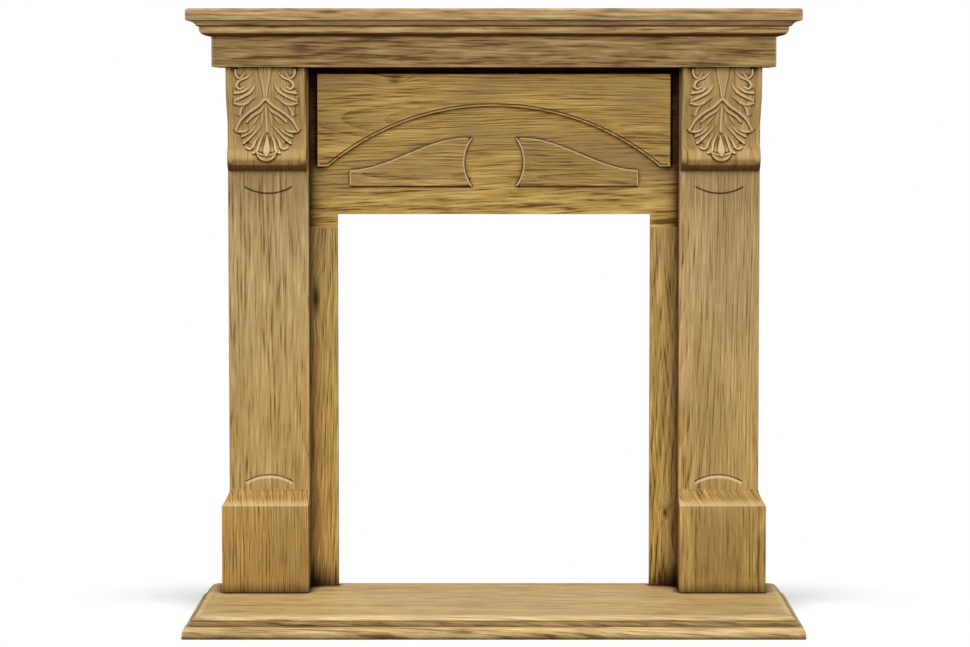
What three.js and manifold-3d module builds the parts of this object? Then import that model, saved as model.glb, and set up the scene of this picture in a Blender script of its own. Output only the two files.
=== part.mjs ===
// Fireplace mantel in oak: a hearth board, two pilasters on plinth blocks with carved corbels,
// a frieze with an arched plate and two ornaments, and a shelf on a boxed fascia with a cornice.
// Millimetres. X runs along the wall, Y runs into it and Z is up. The origin is on the floor,
// at the middle of the hearth board's footprint.

import * as THREE from 'three';
import Module from 'manifold-3d';

const wasm = await Module();
wasm.setup();

// Fire opening
const openingWidth = 578;
const openingHeight = 692;

// Joint clearance between pieces that touch
const jointGap = 0.3;

// Hearth board, with its moulded front and side edges from the floor up
const hearthReach = 252;
const hearthSideMargin = 47;
const hearthFilletHeight = 11;
const hearthOvoloWidth = 13;
const hearthOvoloHeight = 10;
const hearthWallHeight = 8;
const hearthQuirk = 3;
const hearthQuirkRise = 0.5;
const hearthRoundWidth = 16;
const hearthRoundHeight = 9;

// Flat panels around the opening: two leg slips and the frieze with its ears
const legShow = 51;
const panelSetback = 10;
const panelThickness = 20;
const friezeHeight = 270;
const earDrop = 24;

// Pilasters, each a face board on two side boards, with an arc routed at each end
const pilasterWidth = 147;
const pilasterProud = 42;
const pilasterBoard = 18;
const arcChord = 84;
const arcRise = 11.5;
const arcGrooveWidth = 8;
const arcGrooveDepth = 3;
const arcBelowCorbel = 30;
const arcAbovePlinth = 15;

// Plinth blocks
const plinthHeight = 186;
const plinthProud = 39;
const plinthSideStep = 11;
const plinthCoveHeight = 24;
const plinthCovePower = 1.5;
const plinthLip = 2.5;
const plinthArris = 0.75;

// Corbels
const corbelHeight = 188.5;
const corbelInset = 2;
const corbelTopDepth = 58;
const corbelWaistDepth = 15;
const corbelWaistDrop = 126;
const corbelShoulderDrop = 34;
const corbelFlare = 0.02;
const corbelCreaseDrop = 144.5;
const corbelRollDepth = 37;
const corbelRollRadius = 23.5;
const corbelRollHeel = 8;
const corbelScallop = 3.6;
const corbelScallopPlace = 42;
const corbelScallopWidth = 6;
const corbelScallopStart = 0.85;
const corbelMargin = 12.5;
const carvingGround = 2.8;
const carvingMarginStart = 5;
const carvingFade = [162, 173];

// Spandrel plate with the arched lower edge
const plateProud = 10;
const plateSideGap = 15;
const plateTopGap = 11.5;
const plateHeight = 170;
const plateFoot = 19;
const plateArchRise = 111;
const plateChamfer = 3;

// Two ornaments under the arch
const ornamentLength = 227;
const ornamentApart = 78;
const ornamentLift = 51;
const ornamentTipHeight = 90;
const ornamentEndHeight = 31;
const ornamentHollow = 15.5;
const ornamentShelf = 15;
const ornamentThickness = 9;
const ornamentChamfer = 4;

// Fascia box under the shelf
const fasciaHeight = 82;
const fasciaProud = 75;
const fasciaSideStep = 21.5;
const fasciaBoard = 18;
const soffitThickness = 16;

// Cornice moulding under the shelf, from the top down
const crownProjection = 34;
const crownFoot = 25;
const crownHeight = 9;
const crownHollow = 1.2;
const ovoloStep = 0.5;
const ovoloProjection = 20.5;
const ovoloFlat = 5.5;
const ovoloDrop = 12;
const ovoloHeel = 2;

// Shelf board
const shelfOverhang = 42.7;
const shelfTopRoundWidth = 7;
const shelfTopRoundHeight = 4;
const shelfFlat = 16;
const shelfUnderRound = 2;

// Fineness of the curves
const edgeSteps = 5;
const crownSteps = 3;
const underSteps = 2;
const archSteps = 28;
const arcSteps = 10;
const corbelColumns = 38;
const corbelRows = 48;
const marginColumns = 2;

// Places that follow from the sizes above, along X from the middle
const openingHalf = openingWidth / 2;
const pilasterInner = openingHalf + legShow;
const pilasterOuter = pilasterInner + pilasterWidth;
const pilasterMiddle = (pilasterInner + pilasterOuter) / 2;
const plinthOuter = pilasterOuter + plinthSideStep;
const fasciaHalf = pilasterOuter + fasciaSideStep;
const hearthHalf = plinthOuter + hearthSideMargin;

// Places out from the wall
const panelFace = panelSetback + panelThickness;
const pilasterFace = panelFace + pilasterProud;
const plinthFace = pilasterFace + plinthProud;
const fasciaFace = pilasterFace + fasciaProud;
const hearthDepth = plinthFace + hearthReach;

// Heights
const hearthTop = hearthFilletHeight + hearthOvoloHeight + hearthWallHeight + hearthRoundHeight;
const openingTop = hearthTop + openingHeight;
const boxBottom = openingTop + friezeHeight;
const boxTop = boxBottom + fasciaHeight;
const plinthTop = hearthTop + plinthHeight;
const corbelBottom = boxBottom - corbelHeight;

const quarter = Math.PI / 2;

// Oak finishes: the shelf and fascia are greyer, the frieze more golden
const oak = {
  shelf: '#a38a63',
  frieze: '#b08f58',
  upright: '#ae9062',
  carved: '#aa8b5b',
  hearth: '#bf9f6c',
};

function oakMaterial(tone) {
  return new THREE.MeshStandardMaterial({ color: tone, roughness: 0.55, metalness: 0 });
}

function oakPiece(name, geometry, tone) {
  const piece = new THREE.Mesh(geometry, oakMaterial(tone));
  piece.name = name;
  return piece;
}

// Closed solid from numbered points and triangles, turned so that its faces point out
function solidFrom(points, faces) {
  let volume = 0;
  for (const [a, b, c] of faces) {
    volume += points[a].dot(new THREE.Vector3().crossVectors(points[b], points[c]));
  }
  const outward = volume > 0 ? faces : faces.map(([a, b, c]) => [a, c, b]);
  const geometry = new THREE.BufferGeometry();
  const flat = points.flatMap((point) => [point.x, point.y, point.z]);
  geometry.setAttribute('position', new THREE.Float32BufferAttribute(flat, 3));
  geometry.setIndex(outward.flat());
  geometry.computeVertexNormals();
  return geometry;
}

// Triangles of a flat ring of points, running the same way round as the ring
function ringFaces(ring, flatten) {
  const flat = ring.map(flatten);
  const around = THREE.ShapeUtils.area(flat);
  return THREE.ShapeUtils.triangulateShape(flat, []).map(([a, b, c]) => {
    const turn = THREE.ShapeUtils.area([flat[a], flat[b], flat[c]]);
    return turn * around > 0 ? [a, b, c] : [a, c, b];
  });
}

// Solid between matching rings of points, closed by a flat face at each end
function loft(rings, flatten) {
  const count = rings[0].length;
  const faces = [];
  for (let r = 0; r < rings.length - 1; r += 1) {
    for (let i = 0; i < count; i += 1) {
      const here = r * count + i;
      const next = r * count + (i + 1) % count;
      faces.push([here, next, next + count], [here, next + count, here + count]);
    }
  }
  const last = (rings.length - 1) * count;
  for (const [a, b, c] of ringFaces(rings[0], flatten)) {
    faces.push([c, b, a]);
  }
  for (const [a, b, c] of ringFaces(rings[rings.length - 1], flatten)) {
    faces.push([a + last, b + last, c + last]);
  }
  return solidFrom(rings.flat(), faces);
}

const fromAbove = (point) => new THREE.Vector2(point.x, point.y);
const fromFront = (point) => new THREE.Vector2(point.x, point.z);
const fromSide = (point) => new THREE.Vector2(point.y, point.z);

// Quarter of an ellipse as [out, up] points; a hollow one curves the other way
function quarterCurve(startOut, startUp, endOut, endUp, hollow) {
  const curve = [];
  for (let i = 0; i <= edgeSteps; i += 1) {
    const angle = quarter * i / edgeSteps;
    const out = hollow ? 1 - Math.cos(angle) : Math.sin(angle);
    const up = hollow ? Math.sin(angle) : 1 - Math.cos(angle);
    curve.push([startOut + (endOut - startOut) * out, startUp + (endUp - startUp) * up]);
  }
  return curve;
}

// Board seen as rectangles at rising heights: each edge profile point moves the front and the sides
function mouldedBoard(profile, halfWidth, depth) {
  const rings = profile.map(([out, up]) => [
    new THREE.Vector3(-halfWidth - out, -depth - out, up),
    new THREE.Vector3(halfWidth + out, -depth - out, up),
    new THREE.Vector3(halfWidth + out, 0, up),
    new THREE.Vector3(-halfWidth - out, 0, up),
  ]);
  return loft(rings, fromAbove);
}

function board(name, tone, [x0, x1], [y0, y1], [z0, z1]) {
  const piece = oakPiece(name, new THREE.BoxGeometry(x1 - x0, y1 - y0, z1 - z0), tone);
  piece.position.set((x0 + x1) / 2, (y0 + y1) / 2, (z0 + z1) / 2);
  return piece;
}

// The same range on the right (side 1) or mirrored on the left (side -1)
function across(side, inner, outer) {
  return side > 0 ? [inner, outer] : [-outer, -inner];
}

// Closed outline moved inwards by a distance, corner by corner; a sharp corner stops at a limit
const sharpestTurn = 0.3;

function insetOutline(outline, distance) {
  const count = outline.length;
  const turn = Math.sign(THREE.ShapeUtils.area(outline));
  return outline.map((point, i) => {
    const before = outline[(i + count - 1) % count];
    const after = outline[(i + 1) % count];
    const in1 = new THREE.Vector2().subVectors(point, before).normalize();
    const in2 = new THREE.Vector2().subVectors(after, point).normalize();
    const normal1 = new THREE.Vector2(-in1.y, in1.x).multiplyScalar(turn);
    const normal2 = new THREE.Vector2(-in2.y, in2.x).multiplyScalar(turn);
    const middle = normal1.clone().add(normal2).normalize();
    const reach = distance / Math.max(middle.dot(normal1), sharpestTurn);
    return point.clone().addScaledVector(middle, reach);
  });
}

// Flat plate on a panel, with a chamfer round its front edge
function chamferedPlate(outline, back, thickness, chamfer) {
  const front = back + thickness;
  const layers = [[outline, back], [outline, front - chamfer], [insetOutline(outline, chamfer), front]];
  const rings = layers.map(([ring, out]) => ring.map((p) => new THREE.Vector3(p.x, -out, p.y)));
  return loft(rings, fromFront);
}

function hearthBoard() {
  const ovoloTop = hearthFilletHeight + hearthOvoloHeight;
  const wallTop = ovoloTop + hearthWallHeight;
  const wallIn = -hearthOvoloWidth;
  const roundIn = wallIn - hearthQuirk;
  const profile = [
    [0, 0],
    ...quarterCurve(0, hearthFilletHeight, wallIn, ovoloTop, true),
    [wallIn, wallTop],
    ...quarterCurve(roundIn, wallTop + hearthQuirkRise, roundIn - hearthRoundWidth, hearthTop, true),
  ];
  return oakPiece('hearth_board', mouldedBoard(profile, hearthHalf, hearthDepth), oak.hearth);
}

function legSlip(side, label) {
  const range = across(side, openingHalf, pilasterInner - jointGap);
  const rise = [hearthTop + jointGap, openingTop - earDrop - jointGap];
  return board(`leg_slip_${label}`, oak.upright, range, [-panelFace, -panelSetback], rise);
}

// Frieze board: it crosses above the opening and an ear drops at each side of it
function friezeBoard() {
  const half = pilasterInner - jointGap;
  const top = boxBottom - jointGap;
  const earBottom = openingTop - earDrop;
  const outline = [
    [-half, earBottom], [-openingHalf, earBottom], [-openingHalf, openingTop],
    [openingHalf, openingTop], [openingHalf, earBottom], [half, earBottom],
    [half, top], [-half, top],
  ];
  const rings = [panelSetback, panelFace].map((out) => {
    return outline.map(([x, z]) => new THREE.Vector3(x, -out, z));
  });
  return oakPiece('frieze_board', loft(rings, fromFront), oak.frieze);
}

// Plate with a circular arch between two short feet
function spandrelPlate() {
  const half = pilasterInner - plateSideGap;
  const top = boxBottom - plateTopGap;
  const bottom = top - plateHeight;
  const springing = half - plateFoot;
  const radius = (springing ** 2 + plateArchRise ** 2) / (2 * plateArchRise);
  const centre = bottom + plateArchRise - radius;
  const spread = Math.asin(springing / radius);
  const outline = [[half, bottom], [half, top], [-half, top], [-half, bottom]];
  for (let i = 0; i <= archSteps; i += 1) {
    const angle = -spread + 2 * spread * i / archSteps;
    outline.push([radius * Math.sin(angle), centre + radius * Math.cos(angle)]);
  }
  const points = outline.map(([x, z]) => new THREE.Vector2(x, z));
  const geometry = chamferedPlate(points, panelFace + jointGap, plateProud, plateChamfer);
  return oakPiece('spandrel_plate', geometry, oak.frieze);
}

// Ornament: a level foot, a hollow end towards the middle and a top that falls away in an S curve
function ornament(side, label) {
  const inner = ornamentApart / 2;
  const outer = inner + ornamentLength;
  const foot = openingTop + ornamentLift;
  const fall = ornamentTipHeight - ornamentEndHeight;
  const radius = ((ornamentTipHeight / 2) ** 2 + ornamentHollow ** 2) / (2 * ornamentHollow);
  const spread = Math.asin(ornamentTipHeight / 2 / radius);
  const outline = [[outer, foot], [outer, foot + ornamentEndHeight]];
  for (let i = 1; i <= archSteps / 2; i += 1) {
    const share = i / (archSteps / 2);
    const x = outer - (ornamentLength - ornamentShelf) * share;
    outline.push([x, foot + ornamentEndHeight + fall * share * share * (3 - 2 * share)]);
  }
  for (let i = 0; i <= arcSteps; i += 1) {
    const angle = spread - 2 * spread * i / arcSteps;
    const x = inner + ornamentHollow - radius * (1 - Math.cos(angle));
    outline.push([x, foot + ornamentTipHeight / 2 + radius * Math.sin(angle)]);
  }
  const points = outline.map(([x, z]) => new THREE.Vector2(side * x, z));
  const geometry = chamferedPlate(points, panelFace + jointGap, ornamentThickness, ornamentChamfer);
  return oakPiece(`ornament_${label}`, geometry, oak.frieze);
}

function toManifold(geometry) {
  const vertProperties = new Float32Array(geometry.getAttribute('position').array);
  const triVerts = new Uint32Array(geometry.getIndex().array);
  return new wasm.Manifold(new wasm.Mesh({ numProp: 3, vertProperties, triVerts }));
}

function fromManifold(solid) {
  const mesh = solid.getMesh();
  const geometry = new THREE.BufferGeometry();
  geometry.setAttribute('position', new THREE.Float32BufferAttribute(mesh.vertProperties, 3));
  geometry.setIndex(Array.from(mesh.triVerts));
  geometry.computeVertexNormals();
  return geometry;
}

// V-shaped cutter along an arc in the pilaster face; a positive bend puts the middle above the ends
function arcCutter(middle, endHeight, bend) {
  const radius = ((arcChord / 2) ** 2 + arcRise ** 2) / (2 * arcRise);
  const spread = Math.asin(arcChord / 2 / radius);
  const clear = 1;
  const wide = arcGrooveWidth / 2 * (arcGrooveDepth + clear) / arcGrooveDepth;
  const rings = [];
  for (let i = 0; i <= arcSteps; i += 1) {
    const angle = -spread + 2 * spread * i / arcSteps;
    const place = (reach, out) => new THREE.Vector3(
      middle + (radius + reach) * Math.sin(angle),
      -out,
      endHeight + bend * (arcRise - radius + (radius + reach) * Math.cos(angle)),
    );
    rings.push([
      place(-wide, pilasterFace + clear),
      place(0, pilasterFace - arcGrooveDepth),
      place(wide, pilasterFace + clear),
    ]);
  }
  return toManifold(loft(rings, fromSide));
}

// Face board of a pilaster, with the routed arcs near its top and bottom
function pilasterFaceBoard(side, label) {
  const [x0, x1] = across(side, pilasterInner, pilasterOuter);
  const bottom = plinthTop + jointGap;
  const top = boxBottom - jointGap;
  const rings = [bottom, top].map((z) => [
    new THREE.Vector3(x0, -pilasterFace, z),
    new THREE.Vector3(x1, -pilasterFace, z),
    new THREE.Vector3(x1, pilasterBoard - pilasterFace, z),
    new THREE.Vector3(x0, pilasterBoard - pilasterFace, z),
  ]);
  const blank = toManifold(loft(rings, fromAbove));
  const upperArc = arcCutter(side * pilasterMiddle, corbelBottom - arcBelowCorbel, -1);
  const lowerArc = arcCutter(side * pilasterMiddle, plinthTop + arcAbovePlinth, 1);
  const routed = blank.subtract(upperArc).subtract(lowerArc);
  return oakPiece(`pilaster_face_${label}`, fromManifold(routed), oak.upright);
}

function pilasterSideBoard(side, label, position) {
  const edge = position === 'inner' ? pilasterInner : pilasterOuter - pilasterBoard;
  const range = across(side, edge, edge + pilasterBoard);
  const out = [pilasterBoard - pilasterFace + jointGap, 0];
  const rise = [plinthTop + jointGap, boxBottom - jointGap];
  return board(`pilaster_${position}_side_${label}`, oak.upright, range, out, rise);
}

// Plinth block: the front and the outer side sweep in to the pilaster in a cove; the inner side is flush
function plinthBlock(side, label) {
  const shoulder = plinthTop - plinthCoveHeight;
  const profile = [
    [1, hearthTop + jointGap],
    [1, shoulder - plinthLip],
    [1 - plinthArris / plinthProud, shoulder - plinthArris],
    [1 - plinthLip / plinthProud, shoulder],
  ];
  for (let i = 1; i <= edgeSteps; i += 1) {
    const rise = i / edgeSteps;
    const share = (1 - plinthLip / plinthProud) * (1 - rise) ** plinthCovePower;
    profile.push([share, shoulder + plinthCoveHeight * rise]);
  }
  const rings = profile.map(([share, z]) => {
    const outer = pilasterOuter + plinthSideStep * share;
    const out = pilasterFace + plinthProud * share;
    return [
      new THREE.Vector3(side * pilasterInner, -out, z),
      new THREE.Vector3(side * outer, -out, z),
      new THREE.Vector3(side * outer, 0, z),
      new THREE.Vector3(side * pilasterInner, 0, z),
    ];
  });
  return oakPiece(`plinth_${label}`, loft(rings, fromAbove), oak.upright);
}

// How far the corbel's uncarved front stands out at a drop below its top
function corbelFront(drop) {
  if (drop < corbelCreaseDrop) {
    const fall = THREE.MathUtils.smoothstep(drop, corbelShoulderDrop, corbelWaistDrop);
    const past = Math.max(drop - corbelWaistDrop, 0);
    return corbelTopDepth - (corbelTopDepth - corbelWaistDepth) * fall + corbelFlare * past * past;
  }
  const along = (drop - (corbelHeight - corbelRollRadius)) / corbelRollRadius;
  const bulge = Math.sqrt(Math.max(1 - along * along, 0));
  return corbelRollHeel + (corbelRollDepth - corbelRollHeel) * bulge;
}

// Crest lines of the acanthus leaf on one half of the corbel, from the foot up. Each runs through
// points given as [out from the stem, drop below the top]. Its lift falls off steeply on its lower
// side and over its rise on its upper side, as one leaf lies over the next.
const crests = [
  { path: [[1, 110], [9, 126], [14, 141], [17, 152], [24, 155]], lift: 4.4, rise: 5 },
  { path: [[5, 106], [13, 122], [21, 134], [25, 144], [31, 148], [38, 145]], lift: 3.6, rise: 6 },
  { path: [[6, 100], [19, 115], [33, 130], [43, 138]], lift: 3.8, rise: 7 },
  { path: [[18, 104], [30, 117], [46, 126]], lift: 4, rise: 8 },
  { path: [[26, 106], [40, 116], [54, 117]], lift: 4.8, rise: 9 },
  { path: [[1, 67], [10, 79], [24, 88], [36, 99]], lift: 4.6, rise: 5 },
  { path: [[1, 58], [14, 71], [32, 83], [47, 97], [57, 115]], lift: 6, rise: 6 },
  { path: [[13, 51], [30, 60], [43, 74], [47, 88]], lift: 4.6, rise: 8 },
  { path: [[20, 54], [34, 65], [46, 68], [57, 65]], lift: 5.6, rise: 9 },
  { path: [[15, 26], [25, 44], [41, 54], [56, 61]], lift: 5.2, rise: 6 },
  { path: [[26, 34], [39, 44], [56, 47]], lift: 5, rise: 8 },
  { path: [[19, 2], [31, 17], [45, 24], [51, 33], [46, 39], [39, 36]], lift: 5.2, rise: 6 },
  { path: [[35, -2], [39, 13], [46, 20], [53, 14], [54, 4]], lift: 4.4, rise: 4 },
];
const crestSteps = 8;
const crestFlat = 1;
const crestFall = 3.6;
const crestRoot = 0.35;

// Body of the leaf under its crests, the double stem, and the bud in its cup at the foot
const leafBody = { lift: 2, under: 0.6, halfWidth: 54, edge: 6, taperDrop: 116, footDrop: 158, fade: 8 };
const stem = { apart: 3.6, wide: 3.2, core: 0.2, skirt: 1.2, end: 60, lift: 5.4 };
const bud = { top: 122, foot: 162, halfWidth: 9.5, swell: 0.7, round: 6, start: 0.25, lift: 6 };
const cup = { drop: 153, radius: 18, dip: 7, lift: 6.5, lipShare: 0.28, lipWidth: 2, edge: [0.86, 1.02] };
const cupRise = [-1.2, 0.8];

const crestLines = crests.map(({ path, lift, rise }) => {
  const curve = new THREE.SplineCurve(path.map(([out, drop]) => new THREE.Vector2(out, drop)));
  return { line: curve.getPoints(crestSteps * (path.length - 1)), lift, rise };
});

function crestHeight({ line, lift, rise }, out, drop) {
  let nearest = 0;
  let away = Infinity;
  for (let i = 0; i < line.length; i += 1) {
    const distance = Math.hypot(out - line[i].x, drop - line[i].y);
    if (distance < away) {
      away = distance;
      nearest = i;
    }
  }
  const before = line[Math.max(nearest - 1, 0)];
  const after = line[Math.min(nearest + 1, line.length - 1)];
  const offset = new THREE.Vector2(out, drop).sub(line[nearest]);
  const turn = offset.cross(after.clone().sub(before));
  const inside = nearest > 0 && nearest < line.length - 1;
  const past = Math.max(away - crestFlat, 0);
  const upper = Math.max(1 - past / rise, 0) ** 2;
  const lower = 1 - THREE.MathUtils.smoothstep(away, crestFlat, crestFall);
  const share = nearest / (line.length - 1);
  const grown = crestRoot + (1 - crestRoot) * THREE.MathUtils.smoothstep(share, 0, 0.5);
  return lift * grown * (inside && turn > 0 ? upper : lower);
}

function stemHeight(out, drop) {
  if (drop > stem.end) {
    return 0;
  }
  const place = stem.apart * (1 - THREE.MathUtils.smoothstep(drop, stem.end / 2, stem.end));
  const away = Math.abs(out - place) / stem.wide;
  return stem.lift * (1 - THREE.MathUtils.smoothstep(away, stem.core, stem.skirt));
}

function budHeight(out, drop) {
  const share = (drop - bud.top) / (bud.foot - bud.top);
  if (share <= 0 || share >= 1) {
    return 0;
  }
  const halfWidth = bud.halfWidth * share ** bud.swell * Math.sqrt(1 - share ** bud.round);
  const across = Math.min(out / halfWidth, 1);
  return bud.lift * Math.sqrt(1 - across * across) * THREE.MathUtils.smoothstep(share, 0, bud.start);
}

function cupHeight(out, drop) {
  const rim = cup.drop + cup.dip * (1 - (out / cup.radius) ** 2);
  const away = Math.hypot(out, Math.max(drop - cup.drop, 0)) / cup.radius;
  const lip = 1 - cup.lipShare + cup.lipShare * Math.exp(-(((drop - rim) / cup.lipWidth) ** 2));
  const edge = 1 - THREE.MathUtils.smoothstep(away, ...cup.edge);
  return cup.lift * lip * edge * THREE.MathUtils.smoothstep(drop - rim, ...cupRise);
}

// Carving above or below the corbel's plain front, out to either side of its middle
function carving(out, drop) {
  const reach = leafBody.halfWidth - Math.max(drop - leafBody.taperDrop, 0);
  const sides = 1 - THREE.MathUtils.smoothstep(out, reach - leafBody.edge, reach + leafBody.edge / 2);
  const end = [leafBody.footDrop - leafBody.fade, leafBody.footDrop + leafBody.fade];
  const body = leafBody.lift * sides * (1 - THREE.MathUtils.smoothstep(drop, ...end));
  const heights = crestLines.map((crest) => crestHeight(crest, out, drop));
  const detail = Math.max(...heights, stemHeight(out, drop), budHeight(out, drop), cupHeight(out, drop));
  return Math.max(detail + leafBody.under * body, body) - carvingGround;
}

// Place of a column of points across the corbel: few in the plain margins, most over the carving
function columnPlace(column, half) {
  const carved = half - corbelMargin;
  const mirrored = Math.min(column, corbelColumns - column);
  const side = column * 2 < corbelColumns ? -1 : 1;
  if (mirrored < marginColumns) {
    return side * (half - corbelMargin * mirrored / marginColumns);
  }
  const across = (column - marginColumns) / (corbelColumns - 2 * marginColumns);
  return carved * (2 * across - 1);
}

// Front surface of the corbel as rows of points from its top down
function corbelGrid(half, back, top) {
  const points = [];
  for (let row = 0; row <= corbelRows; row += 1) {
    for (let column = 0; column <= corbelColumns; column += 1) {
      const x = columnPlace(column, half);
      const out = Math.abs(x);
      const share = row / corbelRows;
      const scallop = corbelScallop * Math.exp(-(((out - corbelScallopPlace) / corbelScallopWidth) ** 2));
      const notch = scallop * THREE.MathUtils.smoothstep(share, corbelScallopStart, 1);
      const drop = (top - corbelBottom - notch) * share;
      const margin = THREE.MathUtils.smoothstep(half - out, carvingMarginStart, corbelMargin);
      const field = 1 - THREE.MathUtils.smoothstep(drop, ...carvingFade);
      const stand = corbelFront(drop) + margin * field * carving(out, drop);
      points.push(new THREE.Vector3(x, -back - stand, top - drop));
    }
  }
  return points;
}

// Carved corbel: a grid of points over the front, flat sides, top and back, and a scalloped foot
function corbel(side, label) {
  const half = (pilasterWidth - 2 * corbelInset) / 2;
  const back = pilasterFace + jointGap;
  const top = boxBottom - jointGap;
  const points = corbelGrid(half, back, top);
  const front = (column, row) => row * (corbelColumns + 1) + column;
  const step = (a, b) => Math.abs(points[a].y - points[b].y);
  const faces = [];
  for (let row = 0; row < corbelRows; row += 1) {
    for (let column = 0; column < corbelColumns; column += 1) {
      const [a, b] = [front(column, row), front(column + 1, row)];
      const [d, c] = [front(column, row + 1), front(column + 1, row + 1)];
      if (step(a, c) < step(b, d)) {
        faces.push([a, c, b], [a, d, c]);
      } else {
        faces.push([a, d, b], [b, d, c]);
      }
    }
  }
  const topBack = [points.length, points.length + 1];
  points.push(new THREE.Vector3(-half, -back, top), new THREE.Vector3(half, -back, top));
  const foot = [];
  for (let column = 0; column <= corbelColumns; column += 1) {
    foot.push(points.length);
    const edge = points[front(column, corbelRows)];
    points.push(new THREE.Vector3(edge.x, -back, edge.z));
  }
  for (let column = 0; column < corbelColumns; column += 1) {
    const a = front(column, corbelRows);
    const b = front(column + 1, corbelRows);
    faces.push([a, foot[column], foot[column + 1]], [a, foot[column + 1], b]);
  }
  const rows = [...Array(corbelRows + 1).keys()];
  const columns = [...Array(corbelColumns + 1).keys()];
  const leftSide = [...rows.map((row) => front(0, row)), foot[0], topBack[0]];
  const rightSide = [...rows.map((row) => front(corbelColumns, row)), foot[corbelColumns], topBack[1]];
  const topFace = [...columns.map((column) => front(column, 0)), topBack[1], topBack[0]];
  const backFace = [topBack[0], ...foot, topBack[1]];
  const closing = [
    [leftSide, fromSide, true], [rightSide, fromSide, false],
    [topFace, fromAbove, false], [backFace, fromFront, true],
  ];
  for (const [ring, flatten, turned] of closing) {
    const triangles = ringFaces(ring.map((index) => points[index]), flatten);
    for (const [a, b, c] of triangles) {
      faces.push(turned ? [ring[c], ring[b], ring[a]] : [ring[a], ring[b], ring[c]]);
    }
  }
  const piece = oakPiece(`corbel_${label}`, solidFrom(points, faces), oak.carved);
  piece.position.x = side * pilasterMiddle;
  return piece;
}

// Front of a mitred frame around the fascia box; the profile is [out, up] from the fascia face
function mitredFront(name, profile) {
  const rings = [-1, 1].map((side) => profile.map(([out, up]) => {
    return new THREE.Vector3(side * (fasciaHalf + out), -fasciaFace - out, up);
  }));
  return oakPiece(name, loft(rings, fromSide), oak.shelf);
}

function mitredReturn(name, side, profile) {
  const rings = [0, 1].map((end) => profile.map(([out, up]) => {
    const y = end === 0 ? jointGap - fasciaFace - out : 0;
    return new THREE.Vector3(side * (fasciaHalf + out), y, up);
  }));
  return oakPiece(name, loft(rings, fromFront), oak.shelf);
}

function soffitBoard() {
  const half = fasciaHalf - fasciaBoard - jointGap;
  const out = [fasciaBoard + jointGap - fasciaFace, 0];
  return board('soffit_board', oak.shelf, [-half, half], out, [boxBottom, boxBottom + soffitThickness]);
}

// Section of the cornice moulding: a coved crown over an ovolo
function corniceProfile() {
  const top = boxTop - jointGap;
  const crownBottom = top - crownHeight;
  const ovoloTop = crownBottom - ovoloStep;
  const profile = [[jointGap, top], [crownProjection, top]];
  for (let i = 1; i <= crownSteps; i += 1) {
    const share = i / crownSteps;
    const hollow = crownHollow * Math.sin(Math.PI * share);
    const out = crownProjection + (crownFoot - crownProjection) * share - hollow;
    profile.push([out, top - crownHeight * share]);
  }
  profile.push([ovoloProjection, ovoloTop]);
  const roundTop = ovoloTop - ovoloFlat;
  const foot = roundTop - ovoloDrop;
  for (let i = 0; i <= edgeSteps; i += 1) {
    const angle = quarter * i / edgeSteps;
    const out = ovoloHeel + (ovoloProjection - ovoloHeel) * Math.cos(angle);
    profile.push([out, roundTop - ovoloDrop * Math.sin(angle)]);
  }
  profile.push([jointGap, foot]);
  return profile;
}

function shelfBoard() {
  const underTop = boxTop + shelfUnderRound;
  const roundBottom = underTop + shelfFlat;
  const profile = [];
  for (let i = 0; i <= underSteps; i += 1) {
    const angle = quarter * i / underSteps;
    const out = shelfOverhang - shelfUnderRound * (1 - Math.sin(angle));
    profile.push([out, underTop - shelfUnderRound * Math.cos(angle)]);
  }
  for (let i = 0; i <= edgeSteps; i += 1) {
    const angle = quarter * i / edgeSteps;
    const out = shelfOverhang - shelfTopRoundWidth * (1 - Math.cos(angle));
    profile.push([out, roundBottom + shelfTopRoundHeight * Math.sin(angle)]);
  }
  return oakPiece('shelf_board', mouldedBoard(profile, fasciaHalf, fasciaFace), oak.shelf);
}

const fasciaProfile = [
  [-fasciaBoard, boxBottom], [0, boxBottom], [0, boxTop - jointGap], [-fasciaBoard, boxTop - jointGap],
];

const againstWall = new THREE.Group();
againstWall.position.y = hearthDepth / 2;
againstWall.add(hearthBoard(), friezeBoard(), spandrelPlate(), soffitBoard(), shelfBoard());
againstWall.add(mitredFront('fascia_front', fasciaProfile));
againstWall.add(mitredFront('cornice_front', corniceProfile()));

for (const [side, label] of [[-1, 'left'], [1, 'right']]) {
  againstWall.add(legSlip(side, label), plinthBlock(side, label), ornament(side, label));
  againstWall.add(pilasterFaceBoard(side, label));
  againstWall.add(pilasterSideBoard(side, label, 'inner'), pilasterSideBoard(side, label, 'outer'));
  againstWall.add(corbel(side, label));
  againstWall.add(mitredReturn(`fascia_return_${label}`, side, fasciaProfile));
  againstWall.add(mitredReturn(`cornice_return_${label}`, side, corniceProfile()));
}

const mantel = new THREE.Group();
mantel.add(againstWall);

export default mantel;
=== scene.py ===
import math

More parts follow.
